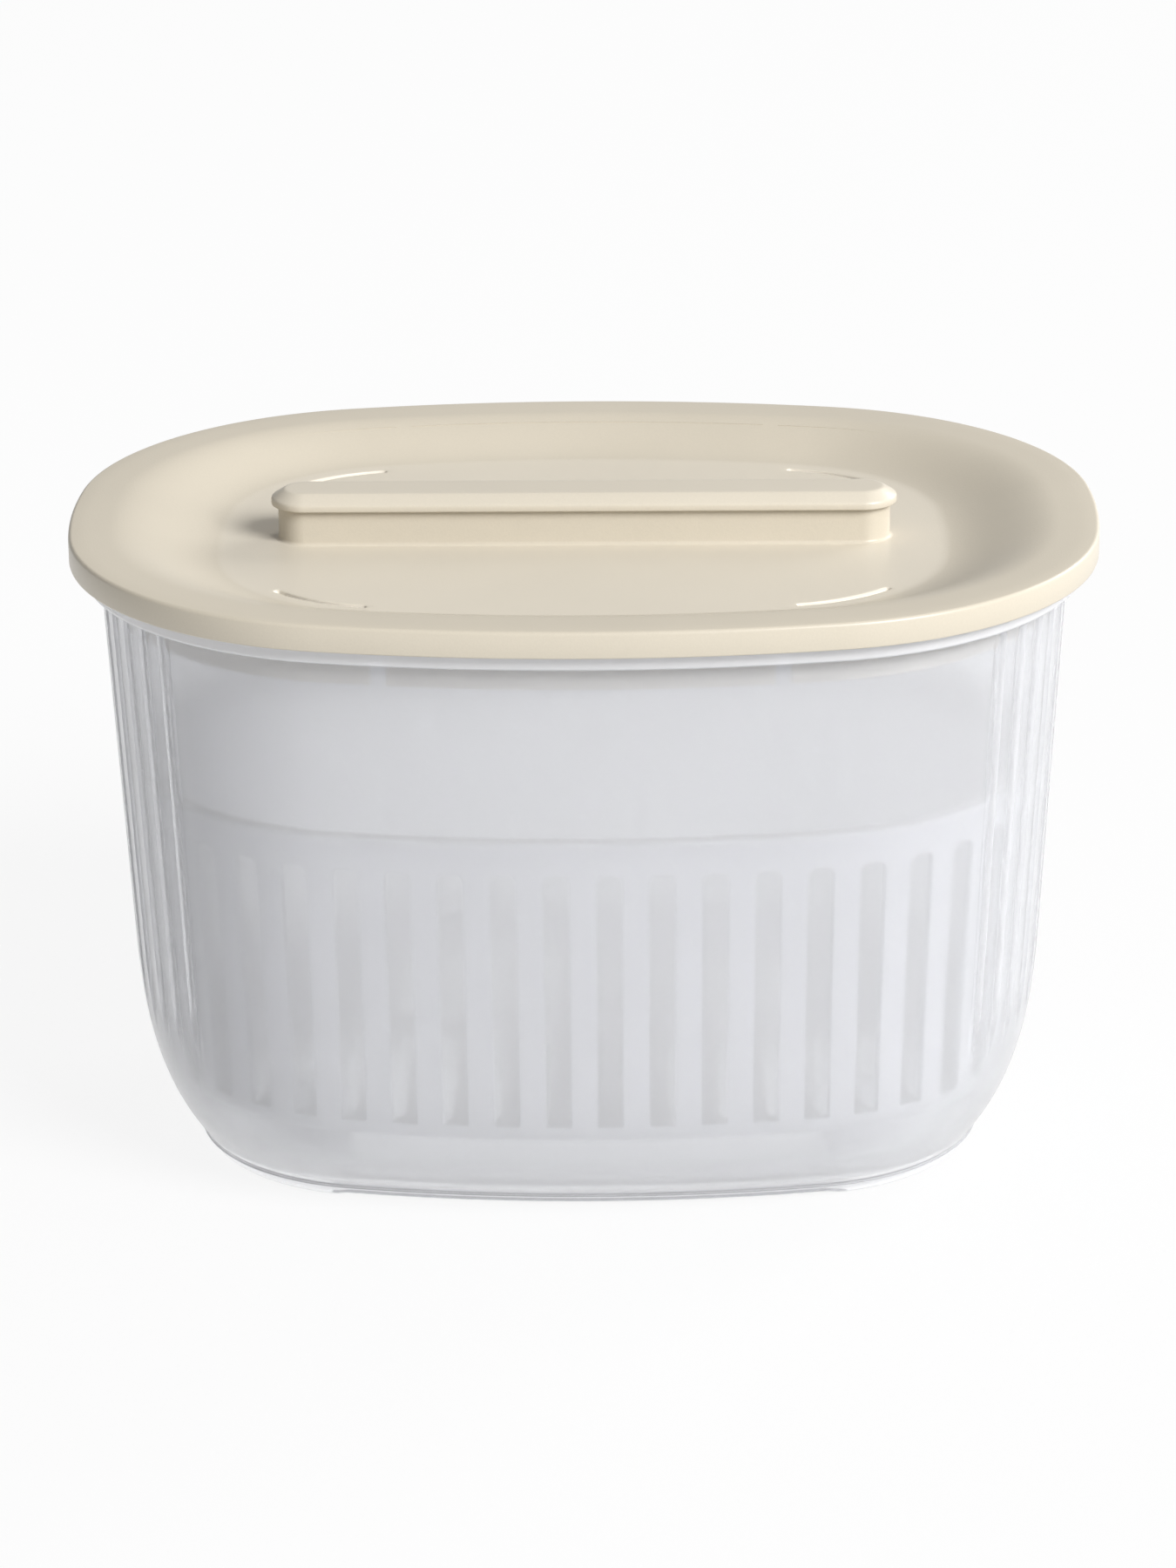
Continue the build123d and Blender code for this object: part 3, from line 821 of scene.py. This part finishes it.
paper_glow = graded(paper_tree, distance_along(paper_tree, "X"), -0.75, -0.30, low=0.66, high=0.885)
paper_tree.links.new(paper_glow, paper_shader.inputs["Emission Strength"])
floor.data.materials.append(paper)

world = bpy.data.worlds.new("surround")
world.use_nodes = True
sky = world.node_tree
background = sky.nodes["Background"]
height_ramp = sky.nodes.new("ShaderNodeValToRGB")
horizon, overhead = height_ramp.color_ramp.elements
horizon.color = (1.0, 1.0, 1.0, 1.0)
overhead.color = (0.35, 0.35, 0.35, 1.0)
overhead.position = 0.17
sky.links.new(distance_along(sky, "Z", "Generated"), height_ramp.inputs["Fac"])
sky.links.new(height_ramp.outputs["Color"], background.inputs["Color"])
left_dim = graded(sky, distance_along(sky, "X", "Generated"), -0.8, 0.0, low=0.6, high=1.0)
sky.links.new(left_dim, background.inputs["Strength"])
bpy.context.scene.world = world


def soft_light(name, place, size, power):
    """A round lamp that faces the middle of the tub."""
    middle = Vector((0.0, 0.0, 0.08))
    lamp = bpy.data.lights.new(name, "AREA")
    lamp.shape = "DISK"
    lamp.size = size
    lamp.energy = power
    light = bpy.data.objects.new(name, lamp)
    light.location = place
    light.rotation_euler = (middle - Vector(place)).to_track_quat("-Z", "Y").to_euler()
    bpy.context.scene.collection.objects.link(light)


soft_light("key", (5.2, -5.0, 5.3), size=4.6, power=1070.0)
soft_light("side", (4.2, 3.6, 2.6), size=3.0, power=150.0)

# Camera: the photograph's view, from the front and above and a little to the right, through a long
# lens. Its place and its three turns were fitted to the outlines of the lid, the tub and the grip.
lens = bpy.data.cameras.new("camera")
lens.sensor_width = 36.0
lens.lens = 131.14
camera = bpy.data.objects.new("camera", lens)
yaw = Matrix.Rotation(radians(0.83), 4, "Z")
tilt = Matrix.Rotation(radians(90.0 - 20.24), 4, "X")
roll = Matrix.Rotation(radians(-0.52), 4, "Z")
camera.matrix_world = Matrix.Translation((0.0204, -1.3817, 0.6008)) @ yaw @ tilt @ roll
bpy.context.scene.collection.objects.link(camera)
bpy.context.scene.camera = camera
bpy.context.scene.view_settings.view_transform = "Standard"
